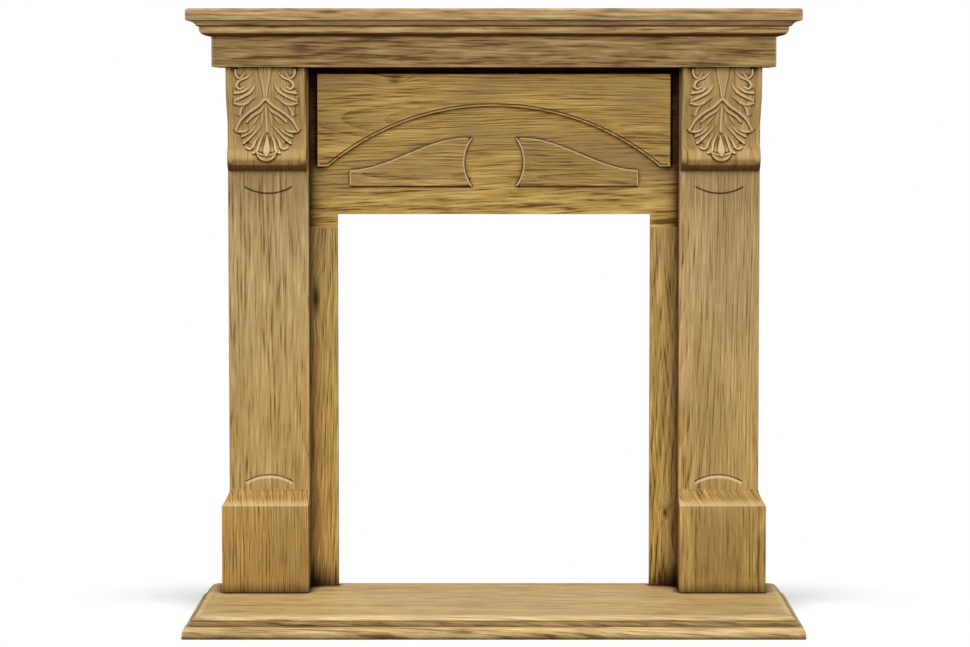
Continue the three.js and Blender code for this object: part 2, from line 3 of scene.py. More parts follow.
import bmesh
import bpy
import numpy as np
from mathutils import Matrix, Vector


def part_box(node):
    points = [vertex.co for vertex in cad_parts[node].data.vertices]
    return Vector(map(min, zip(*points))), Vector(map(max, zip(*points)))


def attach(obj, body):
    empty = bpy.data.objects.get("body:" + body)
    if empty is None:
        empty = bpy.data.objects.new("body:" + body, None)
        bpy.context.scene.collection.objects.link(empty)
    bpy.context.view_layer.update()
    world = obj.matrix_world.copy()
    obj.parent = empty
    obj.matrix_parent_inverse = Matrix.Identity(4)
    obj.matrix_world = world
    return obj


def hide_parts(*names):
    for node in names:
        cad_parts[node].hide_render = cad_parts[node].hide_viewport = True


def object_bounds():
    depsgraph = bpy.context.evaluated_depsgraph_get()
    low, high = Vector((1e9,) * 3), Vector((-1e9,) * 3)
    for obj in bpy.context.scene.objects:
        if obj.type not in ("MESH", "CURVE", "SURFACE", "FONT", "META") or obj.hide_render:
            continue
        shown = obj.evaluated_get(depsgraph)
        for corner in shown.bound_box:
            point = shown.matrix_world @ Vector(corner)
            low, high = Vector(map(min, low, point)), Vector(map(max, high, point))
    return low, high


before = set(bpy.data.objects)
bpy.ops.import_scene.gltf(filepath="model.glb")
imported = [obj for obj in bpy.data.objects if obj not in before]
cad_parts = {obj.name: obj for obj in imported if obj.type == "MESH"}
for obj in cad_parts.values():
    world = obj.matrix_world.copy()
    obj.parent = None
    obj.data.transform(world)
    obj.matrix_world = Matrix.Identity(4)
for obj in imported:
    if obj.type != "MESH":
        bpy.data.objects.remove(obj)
cadLow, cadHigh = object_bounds()
mm = 0.001


# Camera, fitted to the photo: a long lens from about five metres, a little below the shelf's height

camera = {
    "place": (0.0, -5.0961, 0.9302),
    "pitchDown": 3.4,
    "lens": 105.5,
    "sensor": 36,
    "shift": (-0.00918, -0.0505),
    "clip": (0.1, 60),
}


def addObject(name, data):
    made = bpy.data.objects.new(name, data)
    bpy.context.scene.collection.objects.link(made)
    return made


def makeCamera():
    data = bpy.data.cameras.new("photoCamera")
    data.sensor_width = camera["sensor"]
    data.lens = camera["lens"]
    data.shift_x, data.shift_y = camera["shift"]
    data.clip_start, data.clip_end = camera["clip"]
    made = addObject("photoCamera", data)
    made.location = camera["place"]
    made.rotation_euler = (math.radians(90 - camera["pitchDown"]), 0, 0)
    bpy.context.scene.camera = made


makeCamera()
print("camera ready")


# Small helpers for shader nodes; those without a tree find it from their sockets

def plug(source, target):
    if isinstance(source, bpy.types.NodeSocket):
        target.id_data.links.new(source, target)
    else:
        target.default_value = source


def plugAll(sockets, given):
    for label, value in given.items():
        plug(value, sockets[label])


def addNode(tree, kind, given={}, **settings):
    node = tree.nodes.new(kind)
    for name, value in settings.items():
        setattr(node, name, value)
    plugAll(node.inputs, given)
    return node


def onward(kind, given, **settings):
    tree = next(value.id_data for value in given.values() if isinstance(value, bpy.types.NodeSocket))
    return addNode(tree, kind, given, **settings).outputs


def calc(operation, *values, clamp=False):
    return onward("ShaderNodeMath", dict(enumerate(values)), operation=operation, use_clamp=clamp)[0]


def add(first, second, clamp=False):
    return calc("ADD", first, second, clamp=clamp)


def less(first, second):
    return calc("SUBTRACT", first, second)


def times(first, second, clamp=False):
    return calc("MULTIPLY", first, second, clamp=clamp)


def vectorCalc(operation, *values):
    made = onward("ShaderNodeVectorMath", dict(enumerate(values)), operation=operation)
    return made["Value" if operation == "LENGTH" else 0]


def combine(x, y, z):
    return onward("ShaderNodeCombineXYZ", {"X": x, "Y": y, "Z": z})[0]


def split(vector):
    return onward("ShaderNodeSeparateXYZ", {0: vector})


def noise(vector, cycles, detail, roughness=0.5):
    return onward("ShaderNodeTexNoise", {
        "Vector": vectorCalc("MULTIPLY", vector, cycles), "Scale": 1, "Detail": detail,
        "Roughness": roughness})[0]


def spread(value, low, high, toLow=0.0, toHigh=1.0):
    return onward("ShaderNodeMapRange", {
        "Value": value, "From Min": low, "From Max": high, "To Min": toLow, "To Max": toHigh},
        interpolation_type="SMOOTHSTEP")[0]


# Sockets 6 and 7 are the two colours, and output 2 is the colour
def blendColour(share, first, second, kind="MIX"):
    return onward("ShaderNodeMix", {0: share, 6: first, 7: second}, data_type="RGBA", blend_type=kind)[2]


def tint(colour, by):
    return blendColour(1.0, colour, by, "MULTIPLY")


# New node group; its sockets are named by kind, with commas between
def startGroup(name, inputs, outputs):
    tree = bpy.data.node_groups.new(name, "ShaderNodeTree")
    kinds = {"float": "NodeSocketFloat", "vector": "NodeSocketVector", "colour": "NodeSocketColor"}
    for given, way in ((inputs, "INPUT"), (outputs, "OUTPUT")):
        for kind, labels in given.items():
            for label in labels.split(", "):
                tree.interface.new_socket(name=label, in_out=way, socket_type=kinds[kind])
    return tree, tree.nodes.new("NodeGroupInput").outputs, tree.nodes.new("NodeGroupOutput").inputs


def placeGroup(tree, group, given):
    return addNode(tree, "ShaderNodeGroup", given, node_tree=group).outputs


def emptyTree(owner):
    owner.use_nodes = True
    owner.node_tree.nodes.clear()
    return owner.node_tree


def opaque(colour):
    return (*colour, 1)


# Oak figure: rings round a pith that leans a little, so that flat sawn faces show cathedrals

figure = {
    "warpLong": (1.5, 5.0, 5.0),  # noise cycles a metre along, across and through the board
    "warpReach": 0.018,
    "waveLong": (7.0, 26.0, 26.0),
    "waveReach": 0.004,
    "bands": (1.2, 40.0, 8.0),
    "streaks": (6.0, 300.0, 12.0),
    "fibres": (12.0, 350.0, 14.0),
    "pores": (28.0, 420.0, 20.0),
    "patches": (3.6, 9.0, 9.0),
    "amounts": (0.6, 0.34, 2.4, -0.3),  # bands, streaks, fibres, early wood
    "middles": (0.5, 0.5, 0.5, 0.3),
    "fineRings": 0.6,  # how far fine lines follow the rings
    "ringWander": 2.2,
    "earlyPower": 2.4,
    "knotFalls": (-0.35, -3.0),  # of the rings' bulge and of the core
    "knotPush": 1.6,
    "knotShade": 0.35,
    "patchEdge": (0.48, 0.72),
    "patchBands": (0.35, 1.1),
    "poreEdge": (0.6, 0.78),
    "poreLeast": 0.35,
    "rough": (0.4, 0.16, 0.2),  # base, and what fibres and pores add
    "heights": (0.3, 0.35),  # fibres, streaks
    "warmth": (1.0, 0.95, 0.74),  # tint that grows towards the foot of the uprights
    "warmRise": 0.7,  # metres
}


def buildOakFigure():
    tree, entry, leave = startGroup(
        "oakFigure",
        {"vector": "Grain, Seed, Pith, Knot",
         "float": "Lean, Knot Size, Knot Stretch, Knot Depth, Rings, Contrast, Patches, Pores, Warm Below",
         "colour": "Light, Mid, Dark, Smoke"},
        {"colour": "Color", "float": "Roughness, Height"})
    grain, seed = entry["Grain"], entry["Seed"]
    along, across, through = split(grain)
    seeded = vectorCalc("ADD", grain, seed)

    warp, wave = [times(less(noise(seeded, figure[part + "Long"], 2), 0.5), figure[part + "Reach"])
                  for part in ("warp", "wave")]
    pithAcross, pithThrough, pithSlope = split(entry["Pith"])
    fromAcross = add(less(across, pithAcross), add(add(warp, wave), times(along, pithSlope)))
    fromThrough = add(less(through, pithThrough), times(along, entry["Lean"]))
    ring = vectorCalc("LENGTH", combine(fromAcross, fromThrough, 0.0))

    knotLong, knotWide, _ = split(vectorCalc("SUBTRACT", grain, entry["Knot"]))
    knotFlat = combine(calc("DIVIDE", knotLong, entry["Knot Stretch"]), knotWide, 0.0)
    knotAway = calc("DIVIDE", vectorCalc("LENGTH", knotFlat), entry["Knot Size"])
    knotBulge, knotCore = [calc("EXPONENT", times(calc("POWER", knotAway, 2.0), fall))
                           for fall in figure["knotFalls"]]
    ring = add(ring, times(knotBulge, times(entry["Knot Size"], figure["knotPush"])))

    # Streaks are read along the rings, so that they bend with the cathedrals and round the knots
    woven = vectorCalc("ADD", combine(along, ring, through), seed)
    bands = noise(woven, figure["bands"], 2)
    streaks = noise(woven, figure["streaks"], 3, 0.6)
    # Fine lines keep their spacing across a flat sawn face, where the rings run almost level with it
    fineAcross = add(fromAcross, times(ring, figure["fineRings"]))
    fine = vectorCalc("ADD", combine(along, fineAcross, through), seed)
    fibres = noise(fine, figure["fibres"], 2, 0.6)
    pores = noise(fine, figure["pores"], 1)
    phase = add(times(ring, entry["Rings"]), times(bands, figure["ringWander"]))
    early = calc("POWER", calc("FRACT", phase), figure["earlyPower"])

    tone = 0.0
    for layer, middle, amount in zip((bands, streaks, fibres, early), figure["middles"], figure["amounts"]):
        tone = add(tone, times(less(layer, middle), amount))
    tone = add(times(tone, entry["Contrast"]), 0.5)
    colour = blendColour(spread(tone, 0.0, 0.5), entry["Dark"], entry["Mid"])
    colour = blendColour(spread(tone, 0.5, 1.0), colour, entry["Light"])

    patch = spread(noise(seeded, figure["patches"], 3, 0.55), *figure["patchEdge"])
    least, more = figure["patchBands"]
    patch = times(patch, add(least, times(bands, more)))
    colour = blendColour(times(patch, entry["Patches"], True), colour, entry["Smoke"])
    knotShade = tint(entry["Dark"], opaque([figure["knotShade"]] * 3))
    colour = blendColour(times(knotCore, entry["Knot Depth"], True), colour, knotShade)

    poreDip = times(spread(pores, *figure["poreEdge"]), add(figure["poreLeast"], early))
    colour = blendColour(times(poreDip, entry["Pores"], True), colour, entry["Dark"])

    warmFoot = less(entry["Warm Below"], figure["warmRise"])
    warm = spread(along, warmFoot, entry["Warm Below"], 1.0, 0.0)
    base, byFibres, byPores = figure["rough"]
    rough = add(times(fibres, byFibres), times(poreDip, byPores))
    fibreHeight, streakHeight = figure["heights"]
    height = less(times(fibres, fibreHeight), poreDip)
    plugAll(leave, {
        "Color": blendColour(warm, colour, tint(colour, opaque(figure["warmth"]))),
        "Roughness": add(rough, base),
        "Height": add(height, times(streaks, streakHeight)),
    })
    return tree


# Painted shade in the corners and hollows, and painted highlight on the edges

wax = {"colour": (0.17, 0.055, 0.005), "closed": (0.12, 0.85), "deep": (0.3, 0.8), "rays": 8, "dull": 0.5}
edgeHighlightShape = {"thin": (0.35, 0.92), "rays": 6}


def buildCornerShade():
    tree, entry, leave = startGroup(
        "cornerShade", {"colour": "Color, Wax", "float": "Reach, Strength"},
        {"colour": "Color", "float": "Mask"})
    near = onward("ShaderNodeAmbientOcclusion", {"Distance": entry["Reach"]}, samples=wax["rays"])["AO"]
    mask, deep = [times(spread(near, *wax[part], 1.0, 0.0), entry["Strength"], True)
                  for part in ("closed", "deep")]
    shade = tint(entry["Color"], entry["Wax"])
    shaded = blendColour(mask, entry["Color"], shade)
    plug(blendColour(deep, shaded, tint(shade, entry["Wax"])), leave["Color"])
    plug(mask, leave["Mask"])
    return tree


# Painted highlight on convex edges, found by occlusion inside the surface
def buildEdgeHighlight():
    tree, entry, leave = startGroup(
        "edgeHighlight", {"colour": "Color, Rubbed", "float": "Width, Strength"}, {"colour": "Color"})
    inside = onward("ShaderNodeAmbientOcclusion", {"Distance": entry["Width"]}, samples=edgeHighlightShape["rays"],
                    inside=True)["AO"]
    mask = times(spread(inside, *edgeHighlightShape["thin"], 1.0, 0.0), entry["Strength"], True)
    plug(blendColour(mask, entry["Color"], entry["Rubbed"]), leave["Color"])
    return tree


# Carving: painted shade in the cuts and painted highlight on the crests, from the relief stored with the mesh

reliefEdges = (0.1, 0.9)


def buildCarvedShade():
    tree, entry, leave = startGroup(
        "carvedShade", {"colour": "Color, Rubbed, Wax", "float": "Relief, Crests, Cuts"}, {"colour": "Color"})
    slight, full = reliefEdges
    raised = times(spread(entry["Relief"], slight, full), entry["Crests"])
    sunk = times(spread(entry["Relief"], -full, -slight, 1.0, 0.0), entry["Cuts"])
    colour = blendColour(raised, entry["Color"], entry["Rubbed"])
    plug(blendColour(sunk, colour, tint(colour, entry["Wax"])), leave["Color"])
    return tree


carvedShade = buildCarvedShade()
oakFigure = buildOakFigure()
cornerShade = buildCornerShade()
edgeHighlight = buildEdgeHighlight()


# Oak finishes, as linear colours; the last colour of each is the pale one of painted highlights

finishes = {
    "shelf": {
        "light": (0.46, 0.34, 0.17), "mid": (0.305, 0.20, 0.085), "dark": (0.10, 0.055, 0.015),
        "smoke": (0.22, 0.145, 0.07), "rubbed": (0.62, 0.48, 0.28),
    },
    "cornice": {
        "light": (0.62, 0.45, 0.21), "mid": (0.44, 0.29, 0.115), "dark": (0.13, 0.065, 0.015),
        "smoke": (0.26, 0.165, 0.075), "rubbed": (0.68, 0.52, 0.28),
    },
    "fascia": {
        "light": (0.47, 0.32, 0.135), "mid": (0.30, 0.185, 0.066), "dark": (0.10, 0.05, 0.012),
        "smoke": (0.20, 0.125, 0.06), "rubbed": (0.55, 0.40, 0.20),
    },
    "frieze": {
        "light": (0.64, 0.43, 0.145), "mid": (0.455, 0.28, 0.072), "dark": (0.13, 0.058, 0.010),
        "smoke": (0.24, 0.15, 0.065), "rubbed": (0.72, 0.54, 0.28),
    },
    "ornament": {
        "light": (0.54, 0.355, 0.125), "mid": (0.37, 0.225, 0.065), "dark": (0.12, 0.055, 0.010),
        "smoke": (0.22, 0.135, 0.06), "rubbed": (0.85, 0.68, 0.42),
    },
    "upright": {
        "light": (0.575, 0.42, 0.213), "mid": (0.40, 0.265, 0.112), "dark": (0.135, 0.07, 0.020),
        "smoke": (0.28, 0.195, 0.10), "rubbed": (0.68, 0.52, 0.30),
    },
    "lower": {
        "light": (0.55, 0.38, 0.16), "mid": (0.385, 0.245, 0.082), "dark": (0.12, 0.057, 0.012),
        "smoke": (0.25, 0.16, 0.07), "rubbed": (0.66, 0.50, 0.26),
    },
    # A darker copy of the lower finish: painted shade on the plinth blocks
    "plinth": {
        "light": (0.49, 0.335, 0.145), "mid": (0.335, 0.212, 0.073), "dark": (0.105, 0.05, 0.011),
        "smoke": (0.22, 0.14, 0.06), "rubbed": (0.66, 0.50, 0.26),
    },
    "carved": {
        "light": (0.60, 0.43, 0.20), "mid": (0.43, 0.28, 0.105), "dark": (0.17, 0.088, 0.024),
        "smoke": (0.30, 0.20, 0.09), "rubbed": (0.74, 0.57, 0.32),
    },
    "hearth": {
        "light": (0.67, 0.49, 0.235), "mid": (0.48, 0.32, 0.128), "dark": (0.18, 0.10, 0.032),
        "smoke": (0.31, 0.21, 0.095), "rubbed": (0.78, 0.62, 0.36),
    },
}

# Which part axis runs along, across and through a board's grain
grainAxes = {
    "level": "XZY",  # boards seen from the front with level grain
    "upright": "ZXY",
    "uprightSide": "ZYX",
    "flat": "XYZ",  # hearth, soffit
    "return": "YZX",
}
seedSteps = (1.37, 2.71, 0.93)
grainBump = 0.0003  # metres
gloss = 0.06


def oakMaterial(name, finish, axes, seed, side=1, pith=(0.25, 0.1, 0.0), lean=0.0, knot=(9.0, 9.0, 9.0),
                knotSize=0.02, knotStretch=2.6, knotDepth=0.8, rings=190, contrast=1.0, patches=0.5,
                pores=0.5, shadeReach=0.05, shadeStrength=0.9, edgeWidth=0.003, edgeStrength=0.4,
                crests=0.0, cuts=0.0, warmBelow=-5.0):
    look = {part: opaque(colour) for part, colour in finishes[finish].items()}
    made = bpy.data.materials.new(name)
    tree = emptyTree(made)
    place = split(addNode(tree, "ShaderNodeTexCoord").outputs["Object"])
    wood = placeGroup(tree, oakFigure, {
        "Grain": combine(*[place["XYZ".index(letter)] for letter in grainAxes[axes]]),
        "Seed": [seed * step for step in seedSteps], "Pith": (side * pith[0], *pith[1:]), "Lean": lean,
        "Knot": knot, "Knot Size": knotSize, "Knot Stretch": knotStretch, "Knot Depth": knotDepth,
        "Rings": rings, "Contrast": contrast, "Patches": patches, "Pores": pores, "Warm Below": warmBelow,
        "Light": look["light"], "Mid": look["mid"], "Dark": look["dark"], "Smoke": look["smoke"],
    })
    # Painted highlight on convex edges
    colour = placeGroup(tree, edgeHighlight, {
        "Color": wood["Color"], "Rubbed": look["rubbed"], "Width": edgeWidth,
        "Strength": edgeStrength})["Color"]
    # Painted shade in the carving's cuts and painted highlight on its crests, from the stored relief
    if crests:
        relief = addNode(tree, "ShaderNodeAttribute", attribute_name="relief")
        colour = placeGroup(tree, carvedShade, {
            "Color": colour, "Relief": relief.outputs["Fac"], "Rubbed": look["rubbed"],
            "Wax": opaque(wax["colour"]), "Crests": crests, "Cuts": cuts})["Color"]
    # Painted shade in the corners and hollows, darkest in the deepest; roughness rises there too
    corners = placeGroup(tree, cornerShade, {
        "Color": colour, "Wax": opaque(wax["colour"]), "Reach": shadeReach, "Strength": shadeStrength})
    bump = addNode(tree, "ShaderNodeBump", {"Strength": 1, "Distance": grainBump, "Height": wood["Height"]})
    dull = times(corners["Mask"], wax["dull"])
    surface = addNode(tree, "ShaderNodeBsdfPrincipled", {
        "Base Color": corners["Color"], "Roughness": add(wood["Roughness"], dull, True),
        "Specular IOR Level": gloss, "Normal": bump.outputs["Normal"]})
    addNode(tree, "ShaderNodeOutputMaterial", {0: surface.outputs[0]})
    return made


# A piece on each side has its own seed, and its pith is mirrored where the side is given
def sideOak(name, label, finish, axes, piece, side=1, **own):
    seed = piece["seeds"][label]
    return oakMaterial(name + label.capitalize(), finish, axes, seed, side, **piece["oak"], **own)


print("oak materials ready")


# Mesh helpers

def finishMesh(name, points, faces, material, slot, nodes, crease=32, relief=None):
    mesh = bpy.data.meshes.new(name)
    mesh.from_pydata([tuple(point) for point in points], [], faces)
    work = bmesh.new()
    work.from_mesh(mesh)
    bmesh.ops.recalc_face_normals(work, faces=work.faces)
    work.to_mesh(mesh)
    work.free()
    mesh.shade_smooth()
    mesh.set_sharp_from_angle(angle=math.radians(crease))
    if relief is not None:
        values = np.zeros(len(mesh.vertices))
        values[:relief.size] = relief.ravel()
        mesh.attributes.new("relief", "FLOAT", "POINT").data.foreach_set("value", values)
    piece = addObject(name, mesh)
    mesh.materials.append(material)
    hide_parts(*nodes)
    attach(piece, "root")


sides = (("left", -1), ("right", 1))


# Closed solid between matching rings of points, with a flat face at each end
def loft(rings):
    count = len(rings[0])
    points = [point for ring in rings for point in ring]
    faces = []
    for row in range(len(rings) - 1):
        for i in range(count):
            here, after = row * count + i, row * count + (i + 1) % count
            faces.append((here, after, after + count, here + count))
    last = (len(rings) - 1) * count
    faces.append(tuple(range(count - 1, -1, -1)))
    faces.append(tuple(range(last, last + count)))
    return points, faces


def quarterCurve(start, end, steps, hollow=False):
    made = []
    for i in range(steps + 1):
        angle = math.pi / 2 * i / steps
        out, up = (1 - math.cos(angle), math.sin(angle)) if hollow else (math.sin(angle), 1 - math.cos(angle))
        made.append((start[0] + (end[0] - start[0]) * out, start[1] + (end[1] - start[1]) * up))
    return made


# Slab with a moulded edge on its front and sides; the profile is (inwards, up) in millimetres
def mouldedSlab(profile, low, high):
    rings = []
    for inwards, up in profile:
        inset, z = inwards * mm, low.z + up * mm
        rings.append([(low.x + inset, low.y + inset, z), (high.x - inset, low.y + inset, z),
                      (high.x - inset, high.y, z), (low.x + inset, high.y, z)])
    return loft(rings)


# Share of an arris's radius that its round falls back, at a share of the radius from the edge
def roundedEdge(share):
    return 1 - np.sqrt(np.clip(1 - (1 - np.clip(share, 0, 1)) ** 2, 0, 1))


# Hearth board

hearth = {
    "arris": 1.2, "filletHeight": 11, "filletArris": (0.4, 1), "ovolo": (13, 10), "wall": 8,
    "wallArris": (0.8, 1), "quirk": (3, 0.5), "round": (16, 8.5), "steps": 12,
    "relief": {"round": 0.5, "quirk": -0.9, "wall": -0.5, "wallAbove": 2, "wallBelow": 1},
    "oak": {"seed": 3.1, "pith": (-0.35, -0.12, 0.02), "lean": 0.05, "rings": 180, "contrast": 1.1,
            "shadeReach": 0.03, "shadeStrength": 1.2, "crests": 0.4, "cuts": 0.75},
}


def makeHearth():
    low, high = map(Vector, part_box("hearth_board"))
    fillet, arris, (quirkWide, quirkRise) = hearth["filletHeight"], hearth["arris"], hearth["quirk"]
    wallAt, wallFoot = hearth["ovolo"][0], fillet + hearth["ovolo"][1]
    wallTop = wallFoot + hearth["wall"]
    roundAt = wallAt + quirkWide
    top = (high.z - low.z) / mm
    (filletIn, filletDown), (wallIn, wallDown) = hearth["filletArris"], hearth["wallArris"]
    profile = [(arris, 0), (0, arris), (0, fillet - filletDown)]
    profile += quarterCurve((filletIn, fillet), (wallAt, wallFoot), hearth["steps"], True)
    profile += [(wallAt, wallTop - wallDown), (wallAt + wallIn, wallTop)]
    profile += quarterCurve((roundAt, wallTop + quirkRise), (roundAt + hearth["round"][0], top),
                            hearth["steps"], True)
    material = oakMaterial("oakHearth", "hearth", "flat", **hearth["oak"])
    # Painted shade on the moulding's upright and in its quirk, and painted highlight on the round above
    given = hearth["relief"]
    shadeFoot, shadeTop = wallFoot - given["wallBelow"], wallTop + given["wallAbove"]
    relief = [given["round"] if shadeTop < up < top else given["quirk"] if up == wallTop else
              given["wall"] if shadeFoot < up < shadeTop else 0.0 for _, up in profile]
    finishMesh("hearthBoard", *mouldedSlab(profile, low, high), material, "oak_hearth", ["hearth_board"],
               relief=np.outer(relief, np.ones(4)))


makeHearth()
print("hearth board ready")


# Plinth blocks: a bevelled lip, then a cove up to the pilaster; the inner side is flush

plinth = {
    "proud": 39, "sideStep": 11, "cove": 24, "covePower": 1.5, "lip": 2.5, "lipStart": (0.6, 0.9),
    "arris": 0.7, "darkFootRing": 2.5, "steps": 12, "relief": 0.9, "seeds": {"left": 5.3, "right": 8.9},
    "oak": {"pith": (0.95, -0.13, 0.0), "patches": 0.6, "contrast": 0.9, "crests": 0.42, "cuts": 0.8,
            "warmBelow": 0.8},
}


def makePlinth(label, side):
    low, high = map(Vector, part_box("plinth_" + label))
    inner, outerFar = (low.x, high.x) if side > 0 else (high.x, low.x)
    shoulder = high.z - plinth["cove"] * mm
    lip, proud, arris, steps = plinth["lip"], plinth["proud"], plinth["arris"], plinth["steps"]
    lipIn, lipDown = plinth["lipStart"]
    profile = [(1 - arris / proud, low.z), (1, low.z + arris * mm), (1, low.z + plinth["darkFootRing"] * mm),
               (1, shoulder - lip * mm), (1 - lipIn / proud, shoulder - lipDown * mm),
               (1 - lip / proud, shoulder)]
    for i in range(1, steps + 1):
        rise = i / steps
        profile.append(((1 - lip / proud) * (1 - rise) ** plinth["covePower"],
                        shoulder + plinth["cove"] * mm * rise))
    rings = []
    for share, z in profile:
        outer = outerFar - side * plinth["sideStep"] * mm * (1 - share)
        front = low.y + proud * mm * (1 - share)
        rings.append([(inner, front, z), (outer, front, z), (outer, high.y, z), (inner, high.y, z)])
    material = sideOak("oakPlinth", label, "plinth", "upright", plinth, side)
    # Darker at the foot, in the joint with the hearth, and painted highlight along the foot of the cove
    rubbed = plinth["relief"]
    relief = [-rubbed if z < low.z + mm else 0.0 if z < shoulder - mm else
              max(rubbed * (1 - 2 * (z - shoulder) / (high.z - shoulder)), 0.0) for _, z in profile]
    finishMesh("plinthBlock" + label.capitalize(), *loft(rings), material, "oak_upright",
               ["plinth_" + label], relief=np.outer(relief, np.ones(4)))


# Front surface over a grid of columns and rows, closed by flat sides and a flat back
def reliefBlock(columns, fronts, heights, back):
    rows, width = fronts.shape
    points = [(columns[j], fronts[i, j], heights[i, j]) for i in range(rows) for j in range(width)]
    faces = []
    for i in range(rows - 1):
        for j in range(width - 1):
            a = i * width + j
            faces.append((a, a + 1, a + 1 + width, a + width))
    rim = list(range(width))
    rim += [i * width + width - 1 for i in range(1, rows)]
    rim += [(rows - 1) * width + j for j in range(width - 2, -1, -1)]
    rim += [i * width for i in range(rows - 2, 0, -1)]
    first = len(points)
    for index in rim:
        x, _, z = points[index]
        points.append((x, back, z))
    for i, index in enumerate(rim):
        after = (i + 1) % len(rim)
        faces.append((rim[after], index, first + i, first + after))
    faces.append(tuple(range(first, first + len(rim))))
    return points, faces


def smoothStep(value, low, high):
    share = np.clip((value - low) / (high - low), 0, 1)
    return share * share * (3 - 2 * share)


def arcRadius(half, rise):
    return (half ** 2 + rise ** 2) / (2 * rise)


# Pilaster face boards, with a routed arc under the corbel and one over the plinth

pilaster = {
    "arcChord": 84, "arcRise": 11.5, "grooveDepth": 3, "steep": 1.8, "gentle": {-1: 2.4, 1: 6.0},
    "tip": 3.5, "belowCorbel": 30, "abovePlinth": 15, "cell": 1.0, "coarse": 30, "fineZone": (5, 6),
    "arris": 0.9, "edgeCell": 0.3, "relief": 0.9, "seeds": {"left": 11.7, "right": 15.2},
    "leans": {"left": 0.02, "right": 0.05},
    "oak": {"pith": (0.335, 0.23, 0.0), "patches": 0.35, "contrast": 0.76, "pores": 0.3, "crests": 0.8,
            "cuts": 0.8, "warmBelow": 0.85},
}


def arcGroove(x, z, ends, bend):
    half, rise = pilaster["arcChord"] / 2, pilaster["arcRise"]
    radius = arcRadius(half, rise)
    centre = ends + bend * (rise - radius)
    above = bend * (np.hypot(x, z - centre) - radius)
    onLine = np.abs(above) / np.where(above > 0, pilaster["steep"], pilaster["gentle"][bend])
    spreadAt = np.arctan2(np.abs(x), bend * (z - centre))
    past = np.clip(spreadAt * radius - math.asin(half / radius) * radius, 0, None)
    return np.clip(1 - np.hypot(onLine, past / pilaster["tip"]), 0, 1), above


def makePilasterFace(label, side):
    low, high = map(Vector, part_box("pilaster_face_" + label))
    left, right, foot = low.x / mm, high.x / mm, low.z / mm
    middle = (left + right) / 2
    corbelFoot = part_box("corbel_" + label)[0][2] / mm
    upper, lower = corbelFoot - pilaster["belowCorbel"], foot + pilaster["abovePlinth"]
    cell, edge, (before, after) = pilaster["cell"], pilaster["edgeCell"], pilaster["fineZone"]
    rise = pilaster["arcRise"] + after
    across = np.arange(left, right + 0.01, cell)
    across = np.unique(np.concatenate([across, [left + edge, right - edge, right]]))
    rowsAt = np.concatenate([
        [foot, foot + edge, foot + pilaster["arris"]], np.arange(lower - before, lower + rise, cell),
        np.arange(lower + rise, upper - rise, pilaster["coarse"]),
        np.arange(upper - rise, upper + before, cell), [high.z / mm]])
    x, z = np.meshgrid(across, rowsAt)
    upperSink, _ = arcGroove(x - middle, z, upper, -1)
    lowerSink, above = arcGroove(x - middle, z, lower, 1)
    sink = pilaster["grooveDepth"] * np.maximum(upperSink, lowerSink)
    # Painted shade in both grooves, and painted highlight on the lower slope of the arc over the plinth
    relief = (np.where(above > 0, -pilaster["relief"], 1.0) * np.minimum(2 * lowerSink, 1)
              - pilaster["relief"] * upperSink)
    sink += pilaster["arris"] * roundedEdge(np.minimum(x - left, right - x) / pilaster["arris"])
    lean = pilaster["leans"][label]
    material = sideOak("oakPilaster", label, "upright", "upright", pilaster, side, lean=lean)
    finishMesh("pilasterFace" + label.capitalize(),
               *reliefBlock(across * mm, low.y + sink * mm, z * mm, high.y), material, "oak_upright",
               ["pilaster_face_" + label], relief=relief)


for label, side in sides:
    makePlinth(label, side)
    makePilasterFace(label, side)
print("plinths and pilaster faces ready")


# Corbels: a leaf with raised crests over a roll, with a bud in its cup. Sizes in millimetres,
# as distance out from the stem and drop below the corbel's top.

corbel = {
    "topDepth": 58, "waistDepth": 15, "waistDrop": 126, "shoulder": 34, "flare": 0.02,
    "crease": 144.5, "creaseCut": 1.1, "creaseFrom": (46, 54),
    "rollDepth": 37, "rollRadius": 23.5, "rollHeel": 8, "soften": 5, "arris": 1.4,
    "scallop": 3.6, "scallopPlace": 42, "scallopWidth": 6, "scallopFrom": 0.85,
    "margin": (5, 13), "ground": 2.2, "cell": 0.68, "fade": (168, 177),
    "reliefWidth": 2.4, "reliefHeight": 0.9, "undercut": 2.0, "underHeight": 1.4, "hollows": 0.3,
    "rollShade": (32, 3), "topShade": (14, 0.5), "seeds": {"left": 21.4, "right": 27.9},
    "oak": {"pith": (0.95, 0.0, 0.0), "contrast": 0.6, "patches": 0.2, "pores": 0.3, "shadeReach": 0.03,
            "shadeStrength": 1.0, "edgeWidth": 0.0025, "edgeStrength": 0.2, "crests": 0.75, "cuts": 0.85},
}
leaf = {"lift": 2.8, "halfWidth": 54, "edge": 6, "taper": 116, "taperRate": 0.9, "foot": 158, "footFade": 8,
        "share": 0.6}
stem = {"halfWidth": (14, 4), "end": 60, "lift": 4.6, "round": (0.55, 1.2), "flute": 0.7,
        "fluteAt": (0.16, 0.5), "fluteWidth": 0.8}
spine = {"top": 66, "foot": 124, "halfWidth": 2.8, "lift": 3.4, "round": (0.4, 1.4), "fade": (10, 8)}
bud = {"top": 120, "foot": 162, "halfWidth": 10, "lift": 7.2, "powers": (0.7, 6), "grow": 0.25,
       "outline": 2.2, "outlineWidth": 1.1, "outlineGrow": (0.1, 0.3), "inCup": 4}
cup = {"drop": 151, "radius": 21, "dip": 7, "lift": 6.5, "floor": 0.72, "rimWidth": 2,
       "edge": (0.86, 1.02), "rimEdge": (-1.2, 0.8)}
crestShape = {"flat": 1.2, "upperReach": 1.5, "upperPower": 1.5, "lowerSoft": 0.6, "full": 0.5,
              "tipFrom": 0.6, "tipLoss": 0.2}

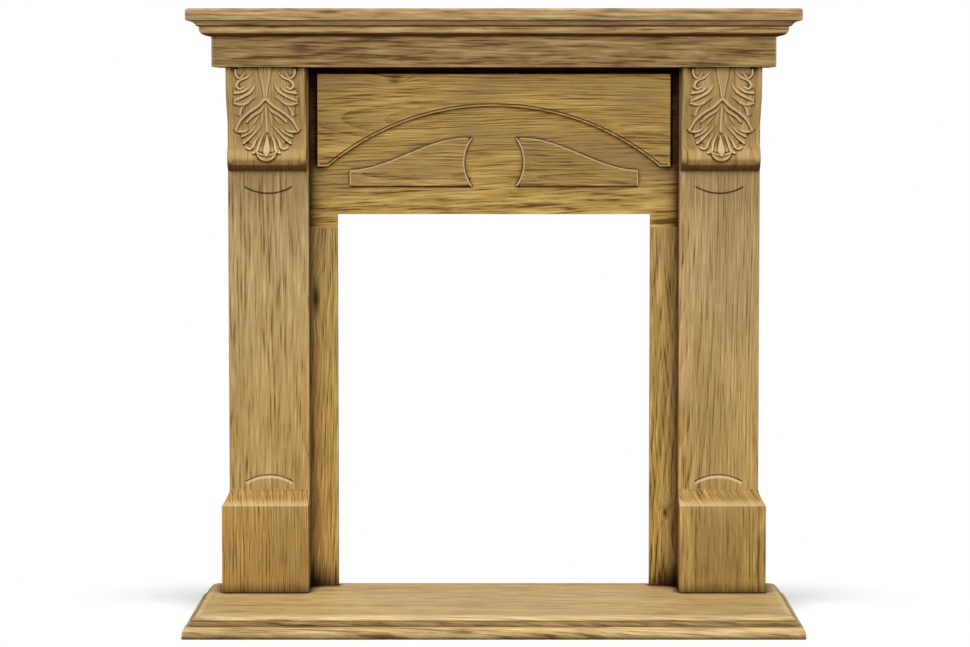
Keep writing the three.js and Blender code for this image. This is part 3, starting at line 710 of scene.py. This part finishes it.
# Crest lines from root to tip: points, lift, how far the upper and the lower side fall, and the root's
# share of the lift where it isn't the usual one
crests = [
    ([(4, 72), (7, 88), (9, 104)], 2.6, 4, 2.2),
    ([(9, 80), (17, 92), (24, 102)], 2.6, 4, 2.2),
    ([(1, 110), (9, 126), (14, 141), (17, 152), (24, 155)], 4.4, 5, 2.4),
    ([(5, 106), (13, 122), (21, 134), (25, 144), (31, 148), (38, 145)], 3.6, 6, 2.4),
    ([(6, 100), (19, 115), (33, 130), (43, 138)], 3.8, 7, 2.2),
    ([(18, 104), (30, 117), (46, 126)], 4.0, 8, 2.4),
    ([(26, 106), (40, 116), (54, 117)], 4.8, 9, 2.4),
    ([(1, 67), (10, 79), (24, 88), (36, 99)], 4.6, 5, 2.6),
    ([(1, 58), (14, 71), (32, 83), (47, 97), (57, 115)], 6.0, 6, 2.6, 0.9),
    ([(13, 51), (30, 60), (43, 74), (47, 88)], 4.6, 8, 2.4),
    ([(20, 54), (34, 65), (46, 68), (57, 65)], 5.6, 9, 2.4),
    ([(15, 26), (25, 44), (41, 54), (56, 61)], 5.2, 6, 2.6),
    ([(26, 34), (39, 44), (56, 47)], 5.0, 8, 2.4),
    ([(19, 2), (31, 17), (45, 24), (51, 33), (46, 39), (39, 36)], 5.2, 6, 2.6),
    ([(35, -2), (39, 13), (46, 20), (53, 14), (54, 4)], 4.4, 4, 2.4),
]


# Smooth line through the points, by cubic pieces
def splineThrough(path, steps=14):
    path = np.array([path[0]] + list(path) + [path[-1]], float)
    made = []
    for i in range(1, len(path) - 2):
        p0, p1, p2, p3 = path[i - 1:i + 3]
        v0, v1 = (p2 - p0) / 2, (p3 - p1) / 2
        cubic, square = 2 * p1 - 2 * p2 + v0 + v1, -3 * p1 + 3 * p2 - 2 * v0 - v1
        for t in np.linspace(0, 1, steps, endpoint=False):
            made.append(cubic * t ** 3 + square * t ** 2 + v0 * t + p1)
    made.append(path[-2])
    return np.array(made)


def crestHeight(out, drop, path, lift, rise, fall, root=0.3):
    line = splineThrough(path)
    closest = np.full(out.shape, np.inf)
    share, turn, beyond = np.zeros(out.shape), np.zeros(out.shape), np.zeros(out.shape, bool)
    for i in range(len(line) - 1):
        a, b = line[i], line[i + 1]
        leg = b - a
        t = ((out - a[0]) * leg[0] + (drop - a[1]) * leg[1]) / (leg @ leg)
        held = np.clip(t, 0, 1)
        away = np.hypot(out - a[0] - held * leg[0], drop - a[1] - held * leg[1])
        nearer = away < closest
        closest = np.where(nearer, away, closest)
        share = np.where(nearer, (i + held) / (len(line) - 1), share)
        turn = np.where(nearer, (out - a[0]) * leg[1] - (drop - a[1]) * leg[0], turn)
        ends = (t < 0) & (i == 0) | (t > 1) & (i == len(line) - 2)
        beyond = np.where(nearer, ends, beyond)
    flat = crestShape["flat"]
    upper = 1 - np.clip(closest - flat, 0, None) / (crestShape["upperReach"] * rise)
    upper = np.clip(upper, 0, None) ** crestShape["upperPower"]
    lower = 1 - smoothStep(closest, flat, fall + crestShape["lowerSoft"])
    grown = root + (1 - root) * smoothStep(share, 0, crestShape["full"])
    grown = grown - crestShape["tipLoss"] * smoothStep(share, crestShape["tipFrom"], 1)
    return lift * grown * np.where((turn > 0) & ~beyond, upper, lower)


def ridge(value, width):
    return np.exp(-(value / width) ** 2)


def carvedHeight(out, drop):
    reach = leaf["halfWidth"] - np.clip(drop - leaf["taper"], 0, None) * leaf["taperRate"]
    body = leaf["lift"] * (1 - smoothStep(out, reach - leaf["edge"], reach + leaf["edge"] / 2))
    body = body * (1 - smoothStep(drop, leaf["foot"] - leaf["footFade"], leaf["foot"] + leaf["footFade"]))
    detail = np.zeros(out.shape)
    for crest in crests:
        detail = np.maximum(detail, crestHeight(out, drop, *crest))

    topHalf, footHalf = stem["halfWidth"]
    wide = topHalf + (footHalf - topHalf) * smoothStep(drop, 0, stem["end"])
    flutes = sum(ridge(out - at * wide, stem["fluteWidth"]) for at in stem["fluteAt"])
    rib = stem["lift"] * (1 - smoothStep(out / wide, *stem["round"])) - stem["flute"] * flutes
    detail = np.maximum(detail, np.where(drop < stem["end"] + 2, rib, 0))

    fadeIn, fadeOut = spine["fade"]
    ends = smoothStep(drop, spine["top"], spine["top"] + fadeIn)
    ends = ends * (1 - smoothStep(drop, spine["foot"] - fadeOut, spine["foot"]))
    line = 1 - smoothStep(out / spine["halfWidth"], *spine["round"])
    detail = np.maximum(detail, spine["lift"] * line * ends)

    share = np.clip((drop - bud["top"]) / (bud["foot"] - bud["top"]), 0.001, 0.999)
    opening, closing = bud["powers"]
    half = bud["halfWidth"] * share ** opening * np.sqrt(1 - share ** closing)
    swell = np.sqrt(np.clip(1 - (out / half) ** 2, 0, 1))
    inBud = (drop > bud["top"]) & (drop < bud["foot"])
    detail = np.maximum(detail, np.where(inBud, bud["lift"] * swell * smoothStep(share, 0, bud["grow"]), 0))
    outline = ridge(out - half - 1, bud["outlineWidth"]) * smoothStep(share, *bud["outlineGrow"])
    detail = detail - np.where(inBud, bud["outline"] * outline * (drop < cup["drop"] + bud["inCup"]), 0)

    rim = cup["drop"] + cup["dip"] * (1 - (out / cup["radius"]) ** 2)
    away = np.hypot(out, np.clip(drop - cup["drop"], 0, None)) / cup["radius"]
    lip = cup["floor"] + (1 - cup["floor"]) * ridge(drop - rim, cup["rimWidth"])
    bowl = cup["lift"] * lip * (1 - smoothStep(away, *cup["edge"])) * smoothStep(drop - rim, *cup["rimEdge"])
    return np.maximum(np.maximum(detail, bowl) + leaf["share"] * body, body) - corbel["ground"]


def corbelFront(drop):
    fall = smoothStep(drop, corbel["shoulder"], corbel["waistDrop"])
    body = corbel["topDepth"] - (corbel["topDepth"] - corbel["waistDepth"]) * fall
    return body + corbel["flare"] * np.clip(drop - corbel["waistDrop"], 0, None) ** 2


def blurred(grid, cells):
    reach = math.ceil(3 * cells)
    weights = np.exp(-0.5 * (np.arange(-reach, reach + 1) / cells) ** 2)
    weights /= weights.sum()
    for axis in (0, 1):
        padded = np.pad(grid, [(reach, reach) if axis == i else (0, 0) for i in (0, 1)], mode="edge")
        grid = np.apply_along_axis(lambda line: np.convolve(line, weights, "valid"), axis, padded)
    return grid


def makeCorbel(label, side):
    low, high = map(Vector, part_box("corbel_" + label))
    middle = (low.x + high.x) / 2
    half, tall = (high.x - low.x) / 2 / mm, (high.z - low.z) / mm
    cell, radius, soften = corbel["cell"], corbel["rollRadius"], corbel["soften"]
    across = np.linspace(-half, half, round(2 * half / cell) + 1)
    x, rows = np.meshgrid(across, np.linspace(0, 1, round(tall / cell) + 1))
    out = np.abs(x)
    scallop = corbel["scallop"] * ridge(out - corbel["scallopPlace"], corbel["scallopWidth"])
    drop = (tall - scallop * smoothStep(rows, corbel["scallopFrom"], 1)) * rows

    centre = tall - radius
    bulge = np.sqrt(np.clip(1 - ((drop - centre) / radius) ** 2, 0, 1))
    roll = corbel["rollHeel"] + (corbel["rollDepth"] - corbel["rollHeel"]) * bulge
    plain = corbelFront(np.minimum(drop, corbel["crease"] + 5))
    onRoll = np.clip(0.5 + 0.5 * (roll - plain) / soften, 0, 1)
    union = plain + (roll - plain) * onRoll + soften * onRoll * (1 - onRoll)
    stand = np.where(drop < centre, union, roll)
    crease = ridge(drop - corbel["crease"], corbel["creaseCut"]) * smoothStep(out, *corbel["creaseFrom"])
    stand -= corbel["creaseCut"] * crease
    carve = smoothStep(half - out, *corbel["margin"]) * (1 - smoothStep(drop, *corbel["fade"]))
    carve = carve * carvedHeight(out, drop)
    stand += carve

    # Painted highlight on the crests; painted shade in the hollows, under the crests, under the roll and at
    # the top
    raised = (carve - blurred(carve, corbel["reliefWidth"] / cell)) / corbel["reliefHeight"]
    lines = round(corbel["undercut"] / cell)
    above = np.concatenate([np.repeat(carve[:1], lines, axis=0), carve[:-lines]])
    under = np.clip((carve - above) / corbel["underHeight"], -1, 0)
    (rollFrom, rollTo), (topReach, topShade) = corbel["rollShade"], corbel["topShade"]
    shade = smoothStep(drop, tall - rollFrom, tall - rollTo) + topShade * (1 - smoothStep(drop, 0, topReach))
    relief = np.clip(np.where(raised > 0, raised, corbel["hollows"] * raised) + under - shade, -1, 1)
    stand -= corbel["arris"] * roundedEdge((half - out) / corbel["arris"])
    material = sideOak("oakCorbel", label, "carved", "upright", corbel, side)
    block = reliefBlock(across * mm + middle, high.y - stand * mm, high.z - drop * mm, high.y)
    finishMesh("corbel" + label.capitalize(), *block, material, "oak_carved", ["corbel_" + label],
               crease=60, relief=relief)


for label, side in sides:
    makeCorbel(label, side)
print("corbels ready")


# Plates on the frieze: an outline with a moulded edge, as (inwards, out) steps in millimetres

mitreLimit = 0.3


def insetOutline(outline, distance):
    count = len(outline)
    area = sum(outline[i][0] * outline[(i + 1) % count][1] - outline[(i + 1) % count][0] * outline[i][1]
               for i in range(count))
    turn = 1 if area > 0 else -1
    made = []
    for i, point in enumerate(outline):
        here = Vector(point)
        before, after = Vector(outline[i - 1]), Vector(outline[(i + 1) % count])
        first, second = (here - before).normalized(), (after - here).normalized()
        normalA = Vector((-first.y, first.x)) * turn
        normalB = Vector((-second.y, second.x)) * turn
        middle = (normalA + normalB).normalized()
        made.append(here + middle * distance / max(middle.dot(normalA), mitreLimit))
    return made


def mouldedPlate(outline, profile, back, plain=()):
    flat = profile[-1][1]
    rings = []
    for inwards, out in profile:
        ring = insetOutline(outline, inwards)
        stands = [flat if i in plain and inwards > 1 else out for i in range(len(ring))]
        rings.append([(p.x * mm, back - stand * mm, p.y * mm) for p, stand in zip(ring, stands)])
    return loft(rings)


spandrel = {
    "foot": 19, "archRise": 111, "steps": 96, "grooveEnd": 4,
    "edge": [(0, 0), (0, 8.6), (0.5, 9.4), (1.4, 9.7), (2.6, 9.5), (3.4, 8.6), (3.9, 7.0), (4.5, 7.0),
             (5.2, 9.2), (6.0, 9.7), (7.0, 9.7)],
    "oak": {"seed": 31.6, "pith": (0.9, 0.17, 0.03), "lean": 0.1, "knot": (-0.183, 0.975, 0.0),
            "knotSize": 0.008, "rings": 180, "patches": 0.6, "contrast": 0.95, "shadeReach": 0.025,
            "shadeStrength": 0.7},
}
ornament = {
    "tip": 90, "end": 31, "hollow": 15.5, "shelf": 15, "steps": 36, "foot": 3,
    "edge": [(0, 0), (0, 6.0), (0.3, 6.8), (1.9, 8.5), (2.4, 8.9), (5.2, 8.9)],
    "seeds": {"left": 34.6, "right": 39.4},
    "oak": {"pith": (0.80, 0.16, 0.02), "lean": 0.03, "patches": 0.45, "contrast": 0.95, "shadeReach": 0.02,
            "shadeStrength": 0.3, "edgeWidth": 0.004, "crests": 0.9, "cuts": 0.8},
}


def makeSpandrel():
    low, high = [Vector(corner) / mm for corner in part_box("spandrel_plate")]
    springing, rise, steps = high.x - spandrel["foot"], spandrel["archRise"], spandrel["steps"]
    radius = arcRadius(springing, rise)
    centre = low.z + rise - radius
    reach = math.asin(springing / radius)
    above = low.z + spandrel["grooveEnd"]
    outline = [(high.x, low.z), (high.x, above), (high.x, high.z), (low.x, high.z), (low.x, above),
               (low.x, low.z)]
    for i in range(steps + 1):
        angle = -reach + 2 * reach * i / steps
        outline.append((radius * math.sin(angle), centre + radius * math.cos(angle)))
    material = oakMaterial("oakSpandrel", "frieze", "level", **spandrel["oak"])
    # The groove runs along the arch and its tips only
    finishMesh("spandrelPlate", *mouldedPlate(outline, spandrel["edge"], high.y * mm, plain=(1, 2, 3, 4)),
               material, "oak_frieze", ["spandrel_plate"], crease=28)


def makeOrnament(label, side):
    low, high = [Vector(corner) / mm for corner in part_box("ornament_" + label)]
    inner, outer = (low.x, high.x) if side > 0 else (-high.x, -low.x)
    tip, end, hollow, steps = [ornament[part] for part in ("tip", "end", "hollow", "steps")]
    radius = arcRadius(tip / 2, hollow)
    reach = math.asin(tip / 2 / radius)
    outline = [(outer, low.z), (outer, low.z + ornament["foot"]), (outer, low.z + end)]
    for i in range(1, steps + 1):
        share = i / steps
        outline.append((outer - (outer - inner - ornament["shelf"]) * share,
                        low.z + end + (tip - end) * smoothStep(share, 0, 1)))
    for i in range(steps + 1):
        angle = reach - 2 * reach * i / steps
        outline.append((inner + hollow - radius * (1 - math.cos(angle)),
                        low.z + tip / 2 + radius * math.sin(angle)))
    outline = [(side * x, z) for x, z in outline]
    material = sideOak("oakOrnament", label, "ornament", "level", ornament)
    # Painted highlight on the bevels of the top, the hollow and the end, and painted shade on the lower one
    flat = ornament["edge"][-1][1]
    bevel = np.array([0 < out < flat for _, out in ornament["edge"]], float)
    turned = np.ones(len(outline))
    turned[[0, -1]] = -1
    finishMesh("ornament" + label.capitalize(), *mouldedPlate(outline, ornament["edge"], high.y * mm),
               material, "oak_frieze", ["ornament_" + label], crease=28, relief=np.outer(bevel, turned))


makeSpandrel()
for label, side in sides:
    makeOrnament(label, side)
print("frieze plates ready")


# Cornice: a coved crown over an ovolo, in three mitred lengths; the profile is (out, below its top)

cornice = {
    "crown": (34, 25), "crownHeight": 9, "crownHollow": 1.2, "crownTop": 0.4, "step": 0.5, "ovolo": 20.5,
    "ovoloArris": (0.4, 0.6), "flat": 5.5, "ovoloDrop": 12, "heel": 2, "back": 0.3, "topInset": 0.5,
    "steps": 14, "wax": {"crown": 0.4, "edge": 0.5, "edgeReach": (1.5, 2.5), "under": (0.25, 0.8)},
    "seeds": {"left": 43.0, "right": 45.0},
    "front": {"seed": 41.3, "pith": (1.3, 0.2, 0.0), "patches": 0.4},
    "oak": {"shadeReach": 0.03, "shadeStrength": 1.4, "edgeWidth": 0.002, "crests": 0.3, "cuts": 0.95},
}
shelf = {
    "round": (7, 4), "under": 2, "underSteps": 4, "steps": 10,
    "oak": {"seed": 47.7, "pith": (1.3, 0.2, 0.01), "patches": 0.4, "contrast": 0.9},
}


def corniceProfile():
    (outTop, outFoot), tall, steps = cornice["crown"], cornice["crownHeight"], cornice["steps"]
    back, crownTop, ovolo, heel = [cornice[part] for part in ("back", "crownTop", "ovolo", "heel")]
    made = [(back, 0), (outTop - cornice["topInset"], 0)]
    for i in range(steps + 1):
        share = i / steps
        out = outTop + (outFoot - outTop) * share
        made.append((out - cornice["crownHollow"] * math.sin(math.pi * share),
                     crownTop + (tall - crownTop) * share))
    top = tall + cornice["step"]
    foot = top + cornice["flat"]
    arrisIn, arrisDown = cornice["ovoloArris"]
    made += [(ovolo - arrisIn, top), (ovolo, top + arrisDown), (ovolo, foot)]
    for i in range(1, steps + 1):
        angle = math.pi / 2 * i / steps
        made.append((heel + (ovolo - heel) * math.cos(angle), foot + cornice["ovoloDrop"] * math.sin(angle)))
    made.append((back, foot + cornice["ovoloDrop"]))
    return made


# Painted shade on the crown, in the line under it and on the ovolo's underside
def corniceShade(profile):
    down = np.array([point[1] for point in profile])
    tall, given = cornice["crownHeight"], cornice["wax"]
    upper, lower = given["edgeReach"]
    edges = smoothStep(down, tall - lower, tall) + 1 - smoothStep(down, 0, upper)
    ovoloTop = tall + cornice["step"] + cornice["flat"]
    under = smoothStep(down, *[ovoloTop + share * cornice["ovoloDrop"] for share in given["under"]])
    return np.outer(np.ones(2), -np.where(down <= tall, given["crown"] + given["edge"] * edges, under))


def makeCornice():
    low, high = map(Vector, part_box("cornice_front"))
    faceFront = low.y + cornice["crown"][0] * mm
    faceSide = high.x - cornice["crown"][0] * mm
    profile = corniceProfile()
    front = [[(side * (faceSide + out * mm), faceFront - out * mm, high.z - down * mm)
              for out, down in profile] for _, side in sides]
    material = oakMaterial("oakCorniceFront", "cornice", "level", **cornice["front"], **cornice["oak"])
    finishMesh("corniceFront", *loft(front), material, "oak_shelf", ["cornice_front"], crease=30,
               relief=corniceShade(profile))
    for label, side in sides:
        wall = Vector(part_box("cornice_return_" + label)[1]).y
        rings = [[(side * (faceSide + out * mm), y(out), high.z - down * mm) for out, down in profile]
                 for y in (lambda out: faceFront - (out - cornice["back"]) * mm, lambda out: wall)]
        material = sideOak("oakCorniceReturn", label, "cornice", "return", cornice)
        finishMesh("corniceReturn" + label.capitalize(), *loft(rings), material, "oak_shelf",
                   ["cornice_return_" + label], crease=30, relief=corniceShade(profile))


def makeShelf():
    low, high = map(Vector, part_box("shelf_board"))
    tall = (high.z - low.z) / mm
    under, (wide, drop) = shelf["under"], shelf["round"]
    profile = quarterCurve((under, 0), (0, under), shelf["underSteps"])
    profile += quarterCurve((0, tall - drop), (wide, tall), shelf["steps"], True)
    material = oakMaterial("oakShelf", "shelf", "level", **shelf["oak"])
    finishMesh("shelfBoard", *mouldedSlab(profile, low, high), material, "oak_shelf", ["shelf_board"])


makeCornice()
makeShelf()
print("shelf and cornice ready")


# Plain boards stay the CAD's own, with soft arrises and their own oak

boards = {
    "arris": 0.8, "softArris": 1.5, "sharpFrom": 40,
    "frieze": {"seed": 51.2, "pith": (0.80, 0.13, -0.04), "lean": 0.04, "patches": 0.6, "shadeReach": 0.06,
               "shadeStrength": 1.35},
    "fascia": {"seed": 55.9, "pith": (1.2, 0.1, 0.02), "lean": 0.05},
    "soffit": {"seed": 57.1, "rings": 130, "shadeStrength": 0.3},
}
coarse = {"rings": 130}
fasciaReturn = {"seeds": {"left": 59.0, "right": 61.0}, "oak": coarse}
sideBoards = {
    "inner": {"seeds": {"left": 66.4, "right": 68.4}, "oak": coarse},
    "outer": {"seeds": {"left": 66.0, "right": 68.0}, "oak": coarse},
}
legSlip = {
    "seeds": {"left": 61.3, "right": 64.7},
    "knots": {"left": {"knot": (0.575, -0.329, 0.0), "knotSize": 0.011, "knotStretch": 4.5},
              "right": {"knot": (0.175, 0.318, 0.0), "knotSize": 0.006, "knotStretch": 2.5}},
    "oak": {"pith": (0.36, 0.24, 0.01), "lean": 0.08, "knotDepth": 1.0, "shadeReach": 0.06,
            "shadeStrength": 1.0, "warmBelow": 0.9},
}


def dressNode(node, material, bevel=boards["arris"]):
    piece = bpy.data.objects[node]
    piece.data.materials.clear()
    piece.data.materials.append(material)
    rounding = piece.modifiers.new("softArris", "BEVEL")
    rounding.width = bevel * mm
    rounding.segments = 2
    rounding.limit_method = "ANGLE"
    rounding.angle_limit = math.radians(boards["sharpFrom"])


def dressBoards():
    soft = boards["softArris"]
    dressNode("frieze_board", oakMaterial("oakFrieze", "frieze", "level", **boards["frieze"]), soft)
    dressNode("fascia_front", oakMaterial("oakFascia", "fascia", "level", **boards["fascia"]))
    dressNode("soffit_board", oakMaterial("oakSoffit", "shelf", "flat", **boards["soffit"]))
    for label, side in sides:
        material = sideOak("oakFasciaReturn", label, "shelf", "return", fasciaReturn)
        dressNode("fascia_return_" + label, material)
        knot = legSlip["knots"][label]
        dressNode("leg_slip_" + label,
                  sideOak("oakLeg", label, "lower", "upright", legSlip, side, **knot), soft)
        for position, piece in sideBoards.items():
            material = sideOak("oakSide" + position.capitalize(), label, "upright", "uprightSide", piece)
            dressNode("pilaster_" + position + "_side_" + label, material)


dressBoards()
print("plain boards dressed")


# Pale floor and soft studio light

studio = {
    "floor": (0.88, 0.88, 0.87), "bounce": (0.26, 0.25, 0.24), "clear": (0.01, 0.28),
    "footprint": (0.565, 0.18), "reach": 30, "under": 0.0005,
    "sky": (1.0, 1.0, 1.0), "skyLight": 0.16,
    "front": {"place": (0.0, -5.0, 1.5), "size": (2.6, 1.4), "power": 163},
    "overhead": {"place": (0.0, -1.05, 4.2), "size": (3.0, 1.2), "power": 160},
    "left": {"place": (-3.4, -2.8, 1.5), "size": (1.4, 2.0), "power": 16},
    "right": {"place": (3.4, -2.8, 1.5), "size": (1.4, 2.0), "power": 16},
    "behind": {"place": (0.0, 4.2, 3.2), "size": (3.0, 1.5), "power": 45},
    "aim": (0.0, 0.0, 0.6),
}


# Pale floor: it takes the part's soft shadow close by and turns into plain white further out
def makeFloor():
    reach = studio["reach"]
    mesh = bpy.data.meshes.new("studioFloor")
    mesh.from_pydata([(-reach, -reach, 0), (reach, -reach, 0), (reach, reach, 0), (-reach, reach, 0)], [],
                     [(0, 1, 2, 3)])
    floor = addObject("studioFloor", mesh)
    floor.location.z = cadLow[2] - studio["under"]
    material = bpy.data.materials.new("paleFloor")
    tree = emptyTree(material)
    seen = addNode(tree, "ShaderNodeLightPath").outputs["Is Camera Ray"]
    surface = addNode(tree, "ShaderNodeBsdfDiffuse", {
        "Color": blendColour(seen, opaque(studio["bounce"]), opaque(studio["floor"]))})
    place = addNode(tree, "ShaderNodeTexCoord").outputs["Object"]
    beyond = vectorCalc("SUBTRACT", vectorCalc("ABSOLUTE", place), (*studio["footprint"], 0.0))
    away = vectorCalc("LENGTH", vectorCalc("MAXIMUM", beyond, (0.0, 0.0, 0.0)))
    far = calc("MULTIPLY", seen, spread(away, *studio["clear"]))
    white = addNode(tree, "ShaderNodeEmission")
    mixed = addNode(tree, "ShaderNodeMixShader", {0: far, 1: surface.outputs[0], 2: white.outputs[0]})
    addNode(tree, "ShaderNodeOutputMaterial", {0: mixed.outputs[0]})
    mesh.materials.append(material)


def makeLights():
    for name in ("front", "overhead", "left", "right", "behind"):
        given = studio[name]
        data = bpy.data.lights.new(name + "Light", "AREA")
        data.shape = "RECTANGLE"
        data.size, data.size_y = given["size"]
        data.energy = given["power"]
        light = addObject(name + "Light", data)
        light.location = given["place"]
        aim = Vector(studio["aim"]) - Vector(given["place"])
        light.rotation_euler = aim.to_track_quat("-Z", "Y").to_euler()


def makeSky():
    world = bpy.data.worlds.new("studioSky")
    bpy.context.scene.world = world
    tree = emptyTree(world)
    seen = addNode(tree, "ShaderNodeLightPath").outputs["Is Camera Ray"]
    sky = addNode(tree, "ShaderNodeBackground", {
        "Color": opaque(studio["sky"]), "Strength": spread(seen, 0.0, 1.0, studio["skyLight"], 1.0)})
    addNode(tree, "ShaderNodeOutputWorld", {0: sky.outputs[0]})


makeFloor()
makeLights()
makeSky()
bpy.context.scene.view_settings.view_transform = "Standard"
print("studio ready")
